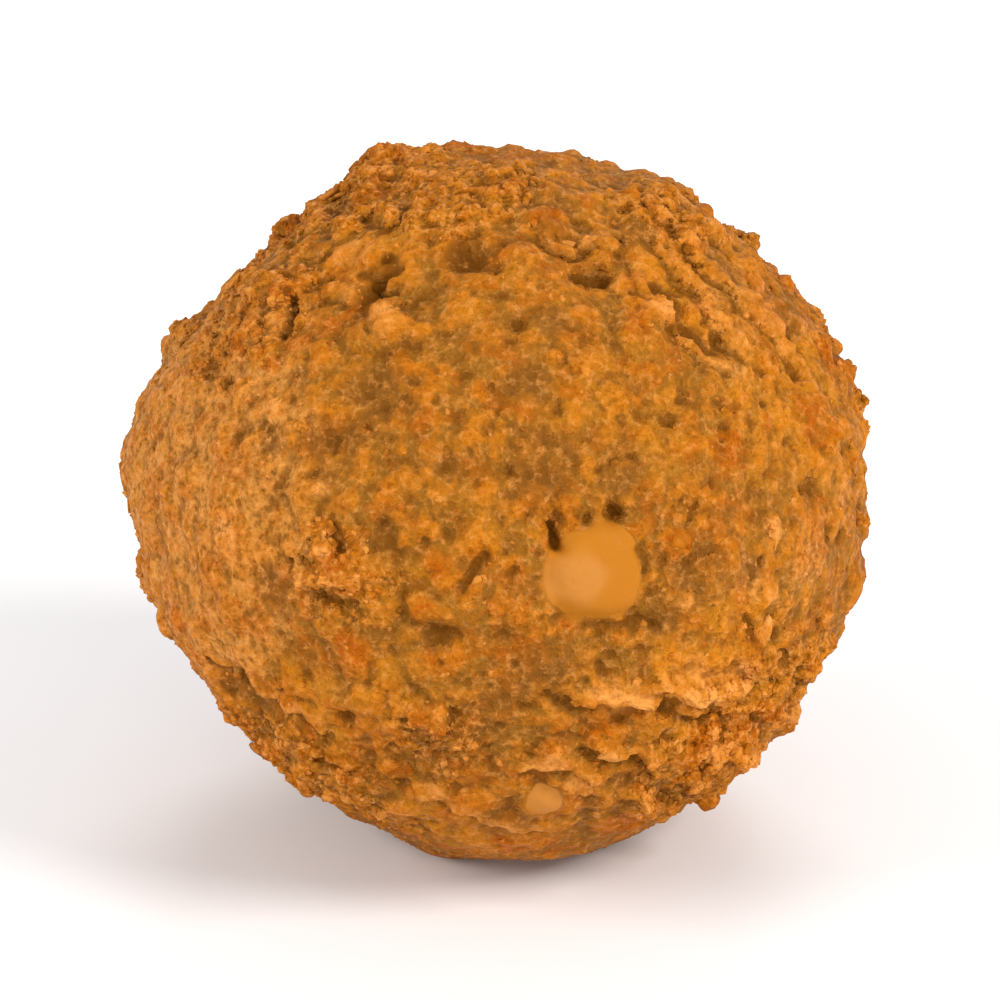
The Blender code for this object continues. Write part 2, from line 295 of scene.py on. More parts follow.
# Width of the cloudy blotches and of the fine speckle in the colour, and the depth of the speckle's relief,
# in millimetres, in the crust and in the flakes.
CRUST_BLOTCH, CRUST_SPECKLE, CRUST_BUMP = 1.3, 0.46, 0.30
FLAKE_BLOTCH, FLAKE_SPECKLE, FLAKE_BUMP = 0.9, 0.40, 0.22

# The studio's lights: name, place and width in metres, power in watts, and colour.
LIGHTS = (
    ("key", (0.62, -0.34, 0.54), 0.36, 6.5, (1.0, 0.98, 0.95)),
    ("fill", (-0.76, -0.22, 0.42), 0.50, 5.6, (1.0, 0.99, 0.98)),
    ("back", (0.10, 0.70, 0.60), 0.50, 2.3, (1.0, 1.0, 1.0)),
    ("bounce", (0.20, -0.70, 0.08), 0.40, 2.7, (1.0, 0.98, 0.95)),
)

# The strength of the even white light all round, and the floor's width in metres.
ROOM_LIGHT = 0.53
FLOOR_WIDTH = 6.0


def from_srgb(red, green, blue):
    """A colour picked on screen, 0 to 255 a channel, as the linear values that shaders take."""

    def linear(channel):
        share = channel / 255
        return share / 12.92 if share <= 0.04045 else ((share + 0.055) / 1.055) ** 2.4

    return tuple(linear(channel) for channel in (red, green, blue))


def colour(name, description, red, green, blue):
    """A colour property with its default given as picked on screen."""
    return FloatVectorProperty(
        name=name,
        description=description,
        default=from_srgb(red, green, blue),
        subtype="COLOR",
        min=0.0,
        max=1.0,
    )


def length(name, description, millimetres):
    """A length property with its default given in millimetres."""
    return FloatProperty(
        name=name, description=description, default=millimetres * MM, unit="LENGTH", precision=5
    )


def amount(name, number):
    """A property for how many of something there are."""
    return IntProperty(name=name, description=f"How many {name.lower()}", default=number)


class FalafelSizes(bpy.types.PropertyGroup):
    """Sizes of the crust's relief, and how many crumbs and flakes lie in it."""

    swell_size: length("Swell size", "Width of the soft swells in the crust", 4.5)
    swell_height: length("Swell height", "From the swells' tops to their feet", 0.50)
    clump_size: length("Clump size", "Width of a clump of crumbs", 2.6)
    clump_height: length("Clump height", "How far the tallest clumps stand out", 0.50)
    chip_size: length("Chip size", "Width of a coarse bit of chickpea", 1.35)
    chip_height: length("Chip height", "How far the tallest chips stand out", 0.42)
    bit_size: length("Bit size", "Width of a fine bit of chickpea", 0.75)
    bit_height: length("Bit height", "How far the tallest fine bits stand out", 0.20)
    crack_size: length("Crack spacing", "Distance between the fine cracks", 2.4)
    crack_depth: length("Crack depth", "Depth of the fine cracks", 0.14)
    roughness_size: length("Roughness size", "Width of the finest roughness", 0.65)
    grain_relief: length("Fine relief", "Depth of the finest roughness", 0.20)
    bubble: length("Small bubble", "Half the width of a typical small bubble", 0.32)
    bubble_depth: length("Small bubble depth", "Depth of a typical small bubble", 0.15)
    coarse_crumb: length("Coarse crumb", "Width of a typical coarse crumb", 0.95)
    fine_crumb: length("Fine crumb", "Width of a typical fine crumb", 0.62)
    grit: length("Grit", "Width of a typical piece of grit", 0.42)
    grain: length("Grain", "Width of a typical grain", 0.30)
    dust: length("Dust", "Width of a typical speck of dust", 0.23)
    bubbles: amount("Small bubbles", 1500)
    coarse_crumbs: amount("Coarse crumbs", 700)
    fine_crumbs: amount("Fine crumbs", 2400)
    grits: amount("Pieces of grit", 9500)
    grains: amount("Grains", 9800)
    specks: amount("Specks of dust", 8000)
    small_flakes: amount("Small flakes", 90)


class FalafelColours(bpy.types.PropertyGroup):
    """Colours of the dough, the crust and what lies in it."""

    dough: colour("Dough", "Smooth, less browned dough", 134, 85, 23)
    olive: colour("Olive", "Greenish dough with herbs in it", 116, 71, 23)
    golden: colour("Golden", "Evenly fried crust", 168, 104, 20)
    toasted: colour("Toasted", "Reddish-brown, well fried crust", 158, 78, 2)
    sandy: colour("Sandy", "Paler, drier crust on the flank", 186, 123, 54)
    # Crisp is partly the real browning of proud tops and partly painted light there; it also colours random
    # crumbs and torn lips.
    crisp: colour("Crisp", "Orange tops of clumps and crumbs", 189, 108, 12)
    # Deep is painted shade between clumps and in shallow hollows, and also the dark speckle of grainy
    # crust.
    deep: colour("Deep", "Brown between clumps and in shallow hollows", 106, 62, 12)
    # The pore colour is painted shade inside open bubbles, cracks and the deepest hollows.
    pore: colour("Pore", "Inside of open bubbles and cracks", 96, 53, 4)
    pale: colour("Pale", "Torn edges and dry crumbs", 216, 144, 70)
    chickpea: colour("Chickpea", "A bare piece of chickpea", 168, 103, 28)
    chickpea_pale: colour("Pale chickpea", "Where a bare piece is palest", 176, 114, 48)


class FalafelStage(bpy.types.PropertyGroup):
    """The floor, the lights and the camera."""

    floor: colour("Floor", "The pale floor", 236, 235, 236)
    camera_distance: length("Camera distance", "From the camera to the ball's middle", 375.0)
    picture_width: length("Picture width", "What the picture spans at the ball", 53.0)
    camera_height: FloatProperty(
        name="Camera height",
        description="How far the camera looks down",
        default=FACE_TILT,
        subtype="ANGLE",
    )


def along(vectors, axis):
    """Each vector's reach along an axis."""
    return vectors @ axis


def direction_of(clock, lean):
    """The way from the ball's middle to a place on the crust, as a unit vector."""
    turn = math.radians(clock)
    round_face = math.cos(turn) * FACE_RIGHT + math.sin(turn) * FACE_UP
    tipped = math.radians(lean)
    return math.cos(tipped) * FACE_OUT + math.sin(tipped) * round_face


def ways_from_middle(points):
    """Unit vectors from the ball's middle to each point, and the points' distances from it."""
    offsets = points - BALL_CENTRE
    distances = np.linalg.norm(offsets, axis=1)
    return offsets / distances[:, None], distances


def shares(ways, clock, lean, half_width):
    """How far each way is from a place, over half_width in millimetres."""
    angles = np.arccos(np.clip(ways @ direction_of(clock, lean), -1.0, 1.0))
    return angles * MEAN_RADIUS / (half_width * MM)


def fade(values, low, high):
    """A smooth step from 0 at low to 1 at high, held past them. It falls where low is the larger."""
    steps = np.clip((values - low) / (high - low), 0.0, 1.0)
    return steps * steps * (3.0 - 2.0 * steps)


def noise_at(points, size_mm, shift):
    """Smooth noise of this size, about -1 to 1, at each point."""
    offset = Vector((shift, -shift, 2.0 * shift))
    scale = 1.0 / (size_mm * MM)
    return np.array([noise.noise(Vector(point) * scale + offset) for point in points])


def soft_patches(points, ways, places, edge=0.35, waver_size=1.6):
    """1 inside these places and 0 away from them, with wavering edges."""
    waver = noise_at(points, waver_size, 5.0) * edge
    mask = np.zeros(len(points))
    for clock, lean, half_width in places:
        mask = np.maximum(mask, 1.0 - fade(shares(ways, clock, lean, half_width) + waver, 0.55, 1.25))
    return mask


def crust_regions(points):
    """How much of each kind of crust, colour and patch there is at each point, from 0 to 1, by name."""
    ways = ways_from_middle(points)[0]
    wander = noise_at(points, 6.0, 11.0)
    far_side = fade(-along(ways, FACE_OUT), -0.1, 0.5)
    # Partly painted light: these gold stretches brighten the sides round the middle.
    gold = 0.80 * soft_patches(points, ways, GOLD_AND_PAINTED_LIGHT_STRETCHES)
    crumbly = soft_patches(points, ways, CRUMBLY_STRETCHES)
    crumbly = np.maximum(crumbly, far_side * fade(wander, -0.15, 0.25))
    sandy = 1.0 - fade(shares(ways, *SANDY_FLANK) + noise_at(points, 2.2, 3.0) * 0.25, 0.75, 1.05)
    sandy = np.maximum(sandy, far_side * fade(wander, 0.25, 0.45))
    sandy = np.maximum(sandy, soft_patches(points, ways, SANDY_PATCHES))
    return {
        "crumbly": crumbly,
        "sandy": sandy,
        "grainy": np.maximum(crumbly, sandy),
        "olive": soft_patches(points, ways, OLIVE_PATCHES),
        "toasted": soft_patches(points, ways, TOASTED_PATCHES),
        "pale": soft_patches(points, ways, PALE_PATCHES),
        "bare": soft_patches(points, ways, BARE_CHICKPEA, edge=0.26, waver_size=1.2),
        "palest": soft_patches(points, ways, PALEST_CHICKPEA, edge=0.6, waver_size=1.8),
        "golden": fade(gold + noise_at(points, 5.0, 17.0) + 0.6 * noise_at(points, 2.2, 19.0), 0.05, 0.95),
        "mottled": fade(noise_at(points, 2.6, 23.0) + 0.5 * noise_at(points, 1.3, 29.0), -0.5, 0.5),
    }


def coordinates(mesh):
    """A mesh's vertices as an array."""
    flat = np.empty(len(mesh.vertices) * 3)
    mesh.vertices.foreach_get("co", flat)
    return flat.reshape(-1, 3)


def put_coordinates(mesh, points):
    """Moves a mesh's vertices to these points."""
    mesh.vertices.foreach_set("co", points.ravel())
    mesh.update()


def vertex_normals(mesh):
    """A mesh's vertex normals as an array."""
    flat = np.empty(len(mesh.vertices) * 3, dtype=np.float32)
    mesh.vertex_normals.foreach_get("vector", flat)
    return flat.reshape(-1, 3).astype(float)


def write_attribute(mesh, name, values):
    """Keeps one number for each vertex under this name."""
    made = mesh.attributes.new(name, "FLOAT", "POINT")
    made.data.foreach_set("value", np.asarray(values, dtype=np.float32))


def only(piece):
    """Makes a piece the one selected and active object."""
    if bpy.context.object and bpy.context.object.mode != "OBJECT":
        bpy.ops.object.mode_set(mode="OBJECT")
    bpy.ops.object.select_all(action="DESELECT")
    if piece:
        piece.select_set(True)
        bpy.context.view_layer.objects.active = piece


def finish_modifier(piece, kind, **settings):
    """Adds a modifier with these settings and applies it."""
    only(piece)
    modifier = piece.modifiers.new(kind.lower(), kind)
    for name, value in settings.items():
        setattr(modifier, name, value)
    bpy.ops.object.modifier_apply(modifier=modifier.name)


def name_piece(piece, name):
    """Gives a piece and its mesh their name, and settles its place in its mesh."""
    only(piece)
    bpy.ops.object.transform_apply(location=True, rotation=True, scale=True)
    piece.name = name
    piece.data.name = name


def crust_texture(name, size, noise_type):
    """A cloudy texture that a Displace modifier reads, with features of this size in metres."""
    texture = bpy.data.textures.new(name, "CLOUDS")
    texture.noise_scale = size
    texture.noise_type = noise_type
    return texture


def drawn_over_solid():
    """A fine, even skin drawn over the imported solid, with the solid's facets smoothed away."""
    only(None)
    bpy.ops.mesh.primitive_ico_sphere_add(subdivisions=6, radius=MEAN_RADIUS * 1.1, location=BALL_CENTRE)
    skin = bpy.context.object
    bpy.ops.object.mode_set(mode="EDIT")
    bpy.ops.mesh.subdivide(number_cuts=2)
    bpy.ops.transform.tosphere(value=1.0)
    bpy.ops.object.mode_set(mode="OBJECT")
    name_piece(skin, "crust")
    finish_modifier(
        skin,
        "SHRINKWRAP",
        target=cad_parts[NODE],
        wrap_method="PROJECT",
        use_negative_direction=True,
        use_positive_direction=True,
    )
    finish_modifier(skin, "SMOOTH", factor=0.5, iterations=SMOOTH_ROUNDS)
    heights = coordinates(skin.data)[:, 2]
    keep_group(skin, "near_floor", 1.0 - fade(heights, FOOT_HEIGHT * MM, SIDE_HEIGHT * MM))
    finish_modifier(skin, "SMOOTH", factor=0.5, iterations=FOOT_SMOOTH_ROUNDS, vertex_group="near_floor")
    return skin


def keep_group(skin, name, weights):
    """Stores weights as a vertex group for the modifiers."""
    group = skin.vertex_groups.new(name=name)
    for level in range(1, 11):
        chosen = np.flatnonzero(np.rint(weights * 10) == level)
        if len(chosen):
            group.add(chosen.tolist(), level / 10, "REPLACE")


def off_floor(points):
    """0 where the crust rests on the floor and 1 a little above it."""
    return fade(points[:, 2] - LOW[2], PRESSED_HEIGHT * MM, FREE_HEIGHT * MM)


def rough_share(regions):
    """How strongly clumps, chips and cracks show, from 0 on bare chickpea to 1 on crumbly crust."""
    covered = 1.0 - regions["bare"]
    return covered * np.clip(0.28 + 0.9 * regions["crumbly"] - 0.3 * regions["sandy"], 0.0, 1.0)


def roughen(skin, sizes, regions):
    """Swells the skin softly, and opens fine cracks and roughness in it."""
    free = off_floor(coordinates(skin.data))
    keep_group(skin, "covered", free * (1.0 - regions["bare"]))
    keep_group(skin, "rough_share", free * rough_share(regions))
    layers = (
        ("swells", sizes.swell_size, sizes.swell_height, "covered", "SOFT_NOISE"),
        ("cracks", sizes.crack_size, sizes.crack_depth, "rough_share", "HARD_NOISE"),
        ("roughness", sizes.roughness_size, sizes.grain_relief, "covered", "SOFT_NOISE"),
    )
    for name, size, height, group, noise_type in layers:
        finish_modifier(
            skin,
            "DISPLACE",
            texture=crust_texture(name, size, noise_type),
            texture_coords="LOCAL",
            strength=height,
            mid_level=0.5,
            vertex_group=group,
        )


def rubble(points, size, shift):
    """Angular bits of this size packed side by side, as coarsely ground chickpeas lie in the dough.

    Returns how far each point's bit stands out, 0 to 1, and a mark from 0 to 1 that each bit has alone.
    """
    noise.seed_set(RUBBLE_SEED)
    offset = Vector((shift, 2.0 * shift, -shift))
    middle_of_cell = Vector((0.5, 0.5, 0.5))
    heights = np.empty(len(points))
    marks = np.empty(len(points))
    for index, point in enumerate(points):
        place = Vector(point) / size + offset
        place += noise.noise_vector(place * 1.6) * RUBBLE_WARP
        (nearest, second, *_), (middle, *_) = noise.voronoi(place)
        mark = 0.5 + 0.5 * noise.cell(middle)
        slope = (place - middle).dot(noise.cell_vector(middle) - middle_of_cell) * RUBBLE_SLOPE
        heights[index] = min(1.0, (second - nearest) / RUBBLE_GAP) * max(0.0, mark + slope - RUBBLE_FLUSH)
        marks[index] = mark
    return heights / (1.0 - RUBBLE_FLUSH), marks


def ground_chickpeas(points, sizes, regions):
    """How far clumps, chips and fine bits raise the crust, in metres, and the mark of each fine bit."""
    share = rough_share(regions)
    clumps, _ = rubble(points, sizes.clump_size, 3.0)
    chips, chip_marks = rubble(points, sizes.chip_size, 9.0)
    bits, bit_marks = rubble(points, sizes.bit_size, 15.0)
    relief = sizes.clump_height * clumps * share * regions["crumbly"]
    relief += sizes.chip_height * chips * share
    relief += sizes.bit_height * bits * (1.0 - regions["bare"]) * (0.5 + 0.5 * share)
    return relief, 0.5 * (chip_marks + bit_marks)


def placed_clumps(points, ways):
    """How far the clumps placed one by one raise the crust, in metres."""
    ragged = noise_at(points, 1.2, 13.0) * 0.5 + noise_at(points, 0.6, 14.0) * 0.25
    raised = np.zeros(len(points))
    for clock, lean, half_width, height in CLUMPS:
        share = np.clip(shares(ways, clock, lean, half_width) + ragged, 0.0, 1.5)
        raised = np.maximum(raised, (1.0 - fade(share, 0.4, 1.25)) * height)
    return raised * MM


def darkness(deep):
    """How much painted shade darkens a pit of this depth in millimetres inside, from 0 to 1."""
    return min(1.0, deep / DARK_DEPTH) ** 0.65


def open_pits(points, ways):
    """Sinks the bubbles that fried open. Returns the new points and the painted shade in bubbles and slits.
    """
    depth = np.zeros(len(points))
    inside = np.zeros(len(points))
    ragged = 1.0 + noise_at(points, 1.1, 8.0) * 0.8
    flat = on_face(points, ways, 0.25)
    facing = fade(along(ways, FACE_OUT), 0.05, 0.25)
    hollows = []
    for clock, lean, half_width, deep in PITS:
        hollows.append((shares(ways, clock, lean, half_width) * ragged, deep, 1.0))
    for half_width, deep, places in SLITS:
        hollows.append((nearest_on_line(flat, places)[0] / half_width * ragged, deep, facing))
    for share, deep, seen in hollows:
        depth = np.maximum(depth, (1.0 - fade(share, 0.2, 1.4)) * deep * seen)
        # Painted shade inside each pit, darker the deeper it is.
        inside = np.maximum(inside, (1.0 - fade(share, 0.4, 1.25)) * darkness(deep) * seen)
    return points - ways * depth[:, None] * MM, inside


def small_bubbles(points, ways, sizes, regions):
    """Dimples the crust with small, shallow, soft-edged bubbles, fewer and finer on the sandy flank."""
    draw = np.random.default_rng(BUBBLE_SEED)
    middles = draw.normal(size=(sizes.bubbles, 3))
    middles *= MEAN_RADIUS / np.linalg.norm(middles, axis=1)[:, None]
    half_widths = sizes.bubble * draw.lognormal(0.0, 0.3, sizes.bubbles).clip(0.6, 1.9)
    depths = sizes.bubble_depth * draw.uniform(0.3, 1.4, sizes.bubbles)
    tree = kdtree.KDTree(sizes.bubbles)
    for index, middle in enumerate(middles):
        tree.insert(middle, index)
    tree.balance()
    sunk = np.zeros(len(points))
    waver = 1.0 + noise_at(points, 0.8, 41.0) * 0.3
    for index, place in enumerate(ways * MEAN_RADIUS):
        for _, bubble, distance in tree.find_n(place, 2):
            share = min(distance * waver[index] / half_widths[bubble], 1.4)
            rim = max(0.0, 1.0 - (share / 1.4) ** 2) ** 2
            sunk[index] = max(sunk[index], depths[bubble] * rim)
    sunk *= (1.0 - regions["bare"]) * (1.0 - 0.55 * regions["sandy"])
    return points - ways * sunk[:, None]


def smoothed(points, edges, rounds):
    """The points after this many rounds of moving each one to the middle of its neighbours."""
    ends = np.concatenate([edges[:, 0], edges[:, 1]])
    others = np.concatenate([edges[:, 1], edges[:, 0]])
    count = np.bincount(ends, minlength=len(points))[:, None]
    for _ in range(rounds):
        sums = [np.bincount(ends, weights=points[others, axis], minlength=len(points)) for axis in range(3)]
        points = np.stack(sums, 1) / count
    return points


def hollowness(mesh):
    """0 on what stands proud, 1 in what lies deep, 0.5 on the even."""
    flat = np.empty(len(mesh.edges) * 2, dtype=np.int32)
    mesh.edges.foreach_get("vertices", flat)
    points = coordinates(mesh)
    offsets = smoothed(points, flat.reshape(-1, 2), HOLLOW_ROUNDS) - points
    below = np.einsum("ij,ij->i", offsets, vertex_normals(mesh))
    return np.clip(0.5 + 0.5 * below / (HOLLOW_REACH * MM), 0.0, 1.0)


def on_face(points, ways, raggedness):
    """Each point's place in millimetres across and up the described side, shifted a little at random."""
    ragged = np.stack([noise_at(points, 1.3, 31.0), noise_at(points, 1.3, 37.0)], 1) * raggedness
    return np.stack([along(ways, FACE_RIGHT), along(ways, FACE_UP)], 1) * MEAN_RADIUS / MM + ragged


def nearest_on_line(flat, places):
    """For each place on the described side, its distance from a line of places, the same distance with a
    minus sign below the line, and how far along the line it is, from 0 to 1."""
    line = [direction_of(clock, lean) * MEAN_RADIUS / MM for clock, lean in places]
    line = np.array([(corner @ FACE_RIGHT, corner @ FACE_UP) for corner in line])
    nearest = np.full(len(flat), np.inf)
    upward = np.zeros(len(flat))
    whole = np.zeros(len(flat))
    for index, (start, end) in enumerate(zip(line, line[1:])):
        run = end - start
        share = np.clip((flat - start) @ run / (run @ run), 0.0, 1.0)
        offset = flat - start - share[:, None] * run
        distance = np.hypot(offset[:, 0], offset[:, 1])
        closer = distance < nearest
        nearest = np.where(closer, distance, nearest)
        side = abs(run[0]) * offset[:, 1] - math.copysign(run[1], run[0] * run[1]) * offset[:, 0]
        upward = np.where(closer, np.sign(side) * distance, upward)
        whole = np.where(closer, (index + share) / (len(line) - 1), whole)
    return nearest, upward, whole


def ledge_relief(points, ways):
    """How far torn ledges raise the crust or sink it in the crevices under them, in metres, and how
    close each point is to a torn edge, on its raised side."""
    flat = on_face(points, ways, 0.6)
    facing = fade(along(ways, FACE_OUT), 0.05, 0.25)
    relief = np.zeros(len(points))
    lip = np.zeros(len(points))
    for height, crevice, reach, places in LEDGES:
        nearest, upward, whole = nearest_on_line(flat, places)
        taper = np.minimum(fade(whole, 0.0, 0.2), 1.0 - fade(whole, 0.8, 1.0))
        above = fade(upward, -EDGE_SOFTNESS, EDGE_SOFTNESS)
        raised = height * (1.0 - fade(nearest, 0.0, reach))
        sunk = -crevice * (1.0 - fade(nearest, 0.15, 0.95))
        relief += (above * raised + (1.0 - above) * sunk) * (0.35 + 0.65 * taper)
        edge = above * (1.0 - fade(nearest, 0.2, 0.6 * reach)) * taper * min(1.0, height / TALL_LEDGE)
        lip = np.maximum(lip, edge)
    return relief * facing * MM, lip * facing


def write_regions(mesh, regions):
    """Keeps the masks that the crust's material reads."""
    for name in ("sandy", "grainy", "olive", "toasted", "pale", "bare", "palest", "golden", "mottled"):
        write_attribute(mesh, name, regions[name])


class FALAFEL_OT_crust(bpy.types.Operator):
    """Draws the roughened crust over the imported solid"""

    bl_idname = "falafel.crust"
    bl_label = "Crust"

    def execute(self, context):
        sizes = context.scene.falafel_sizes
        skin = drawn_over_solid()
        regions = crust_regions(coordinates(skin.data))
        roughen(skin, sizes, regions)
        points = coordinates(skin.data)
        ways = ways_from_middle(points)[0]
        bits, marks = ground_chickpeas(points, sizes, regions)
        ledges, lip = ledge_relief(points, ways)
        relief = (bits + placed_clumps(points, ways) + ledges) * off_floor(points)
        points += ways * relief[:, None]
        points = small_bubbles(points, ways, sizes, regions)
        points, inside = open_pits(points, ways)
        points[:, 2] = np.maximum(points[:, 2], LOW[2])
        put_coordinates(skin.data, points)
        write_regions(skin.data, regions)
        write_attribute(skin.data, "crumbly", regions["crumbly"])
        # The painted shade inside open bubbles and slits.
        write_attribute(skin.data, "pore", inside)
        write_attribute(skin.data, "tint", 0.5 + (marks - 0.5) * (0.75 + 0.25 * regions["crumbly"]))
        write_attribute(skin.data, "lip", lip)
        # This hollowness paints shade into the hollows and light onto what stands proud.
        write_attribute(skin.data, "hollow", hollowness(skin.data))
        skin.data.shade_smooth()
        skin.data.materials.append(crust_material(context))
        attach(skin, "root")
        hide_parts(NODE)
        return {"FINISHED"}


def crumb_shapes(fineness, seed):
    """A few crumbs modelled one by one, as arrays of vertices and faces a unit across."""
    shapes = []
    roughness = 0.26 if fineness > 1 else 0.14
    for index in range(SHAPES_OF_A_KIND):
        only(None)
        bpy.ops.mesh.primitive_ico_sphere_add(subdivisions=fineness, radius=0.5)
        crumb = bpy.context.object
        bpy.ops.object.mode_set(mode="EDIT")
        bpy.ops.transform.vertex_random(offset=roughness, seed=seed + index)
        if fineness > 1:
            bpy.ops.mesh.vertices_smooth(factor=0.5, repeat=1)
        bpy.ops.transform.resize(value=(1.0, 0.85, 0.8))
        bpy.ops.object.mode_set(mode="OBJECT")
        shapes.append(taken_apart(crumb))
    return shapes


def flake_shapes(seed):
    """A few thin torn plates with ragged rims, as arrays of vertices and faces a unit across."""
    shapes = []
    for index in range(SHAPES_OF_A_KIND):
        only(None)
        bpy.ops.mesh.primitive_circle_add(vertices=11, radius=0.5, fill_type="TRIFAN")
        flake = bpy.context.object
        bpy.ops.object.mode_set(mode="EDIT")
        bpy.ops.transform.vertex_random(offset=0.13, seed=seed + index)
        bpy.ops.object.mode_set(mode="OBJECT")
        finish_modifier(flake, "SOLIDIFY", thickness=0.22, offset=0.0)
        finish_modifier(flake, "TRIANGULATE")
        shapes.append(taken_apart(flake))
    return shapes


def taken_apart(model):
    """A model's vertices and triangles as arrays. The model itself is removed."""
    points = coordinates(model.data)
    triangles = np.array([face.vertices[:] for face in model.data.polygons])
    bpy.data.objects.remove(model, do_unlink=True)
    return points, triangles


def spots_on(skin, count, density, draw):
    """Places drawn on the skin where density allows: points, outward directions, and vertices there."""
    mesh = skin.data
    corners = np.empty(len(mesh.polygons) * 3, dtype=np.int32)
    mesh.polygons.foreach_get("vertices", corners)
    corners = corners.reshape(-1, 3)
    areas = np.empty(len(mesh.polygons))
    mesh.polygons.foreach_get("area", areas)
    chance = areas * density[corners].mean(axis=1)
    faces = draw.choice(len(corners), size=count, p=chance / chance.sum())
    weights = draw.dirichlet((1.0, 1.0, 1.0), size=count)
    points = np.einsum("ij,ijk->ik", weights, coordinates(mesh)[corners[faces]])
    return points, ways_from_middle(points)[0], corners[faces][:, 0]


def standing_frames(outward, draw):
    """For each outward direction, three axes at right angles, turned about it at random."""
    spin = draw.uniform(-1.0, 1.0, outward.shape)
    first = np.cross(outward, spin)
    first /= np.linalg.norm(first, axis=1)[:, None]
    return np.stack([first, np.cross(outward, first), outward], axis=2)


def joined_copies(name, shapes, kinds, frames, scales, points, tints, depths, lips):
    """One mesh with a copy of a shape at each point, turned and scaled, with the skin's look there."""
    vertices, triangles, hollow = [], [], []
    start = 0
    for kind, axes, scale, point, depth in zip(kinds, frames, scales, points, depths):
        form, faces = shapes[kind]
        offsets = (form * scale) @ axes.T
        vertices.append(offsets + point)
        triangles.append(faces + start)
        # Painted light and shade: each copy takes the skin's painted shade, and its top is painted lighter
        # than its foot.
        rise = along(offsets, axes[:, 2])
        hollow.append(depth - CRUMB_PAINTED_TOP_LIGHT * rise / rise.max())
        start += len(form)
    vertices = np.concatenate(vertices)
    vertices[:, 2] = np.maximum(vertices[:, 2], LOW[2])
    mesh = bpy.data.meshes.new(name)
    mesh.from_pydata(vertices, [], np.concatenate(triangles))
    in_each = [len(shapes[kind][0]) for kind in kinds]
    regions = crust_regions(np.array(points))
    write_regions(mesh, {region: np.repeat(values, in_each) for region, values in regions.items()})
    write_attribute(mesh, "tint", np.repeat(tints, in_each))
    write_attribute(mesh, "lip", np.repeat(lips, in_each))
    write_attribute(mesh, "hollow", np.clip(np.concatenate(hollow), 0.0, 1.0))
    piece = bpy.data.objects.new(name, mesh)
    bpy.context.scene.collection.objects.link(piece)
    return piece


def read_attribute(piece, name):
    """The numbers kept for a piece's vertices under this name."""
    values = np.empty(len(piece.data.vertices), dtype=np.float32)
    piece.data.attributes[name].data.foreach_get("value", values)
    return values.astype(float)


def crumb_layer(context, name, width, count, fineness, rarer, sandy_share, seed):
    """Scatters crumbs of one kind over the crust, deeper where it is smooth, and joins them."""
    draw = np.random.default_rng(seed)
    skin = bpy.data.objects["crust"]
    crumbly = read_attribute(skin, "crumbly")
    covered = fade(read_attribute(skin, "bare"), 0.45, 0.10)
    covered *= 1.0 - read_attribute(skin, "pore")
    clear = fade(coordinates(skin.data)[:, 2], width * 0.6, width * 1.6)
    rough = np.maximum(crumbly, sandy_share * read_attribute(skin, "sandy"))
    density = (1.0 - rarer + rarer * rough) * covered * clear
    points, outward, nearest = spots_on(skin, count, density, draw)
    shapes = crumb_shapes(fineness, seed)
    across = width * draw.lognormal(0.0, 0.25, count).clip(0.55, 1.7)
    scales = across[:, None] * draw.uniform(0.7, 1.3, (count, 3))
    least, most, added = CRUMB_SUNK
    sunk = draw.uniform(least, most, count) + added * (1.0 - crumbly[nearest])
    points = points - outward * (across * sunk)[:, None]
    kinds = draw.integers(0, len(shapes), count)
    frames = standing_frames(outward, draw)
    # Each crumb takes the skin's hollowness there, which paints its shade.
    depths = read_attribute(skin, "hollow")[nearest] + 0.05
    lips = read_attribute(skin, "lip")[nearest]
    tints = draw.uniform(0.0, 1.0, count)
    piece = joined_copies(name, shapes, kinds, frames, scales, points, tints, depths, lips)
    if fineness > 1:
        piece.data.shade_smooth()
    piece.data.materials.append(crust_material(context))
    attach(piece, "root")


class FALAFEL_OT_crumbs(bpy.types.Operator):
    """Presses crumbs, grit, grains and dust into the crust"""

    bl_idname = "falafel.crumbs"
    bl_label = "Crumbs"

    def execute(self, context):
        sizes = context.scene.falafel_sizes
        for name, width, count, *kind in CRUMB_KINDS:
            crumb_layer(context, name, getattr(sizes, width), getattr(sizes, count), *kind)
        return {"FINISHED"}


def flake_axes(outward, turn, lift):
    """A flake's long, cross and thickness axes, with its lower edge lifted off the crust."""
    angle = math.radians(turn)
    wanted = math.cos(angle) * FACE_RIGHT + math.sin(angle) * FACE_UP
    long_axis = wanted - outward * (wanted @ outward)
    long_axis /= np.linalg.norm(long_axis)
    cross = np.cross(outward, long_axis)
    raised = math.radians(lift)
    lifted_cross = math.cos(raised) * cross - math.sin(raised) * outward
    return np.stack([long_axis, lifted_cross, np.cross(long_axis, lifted_cross)], axis=1)


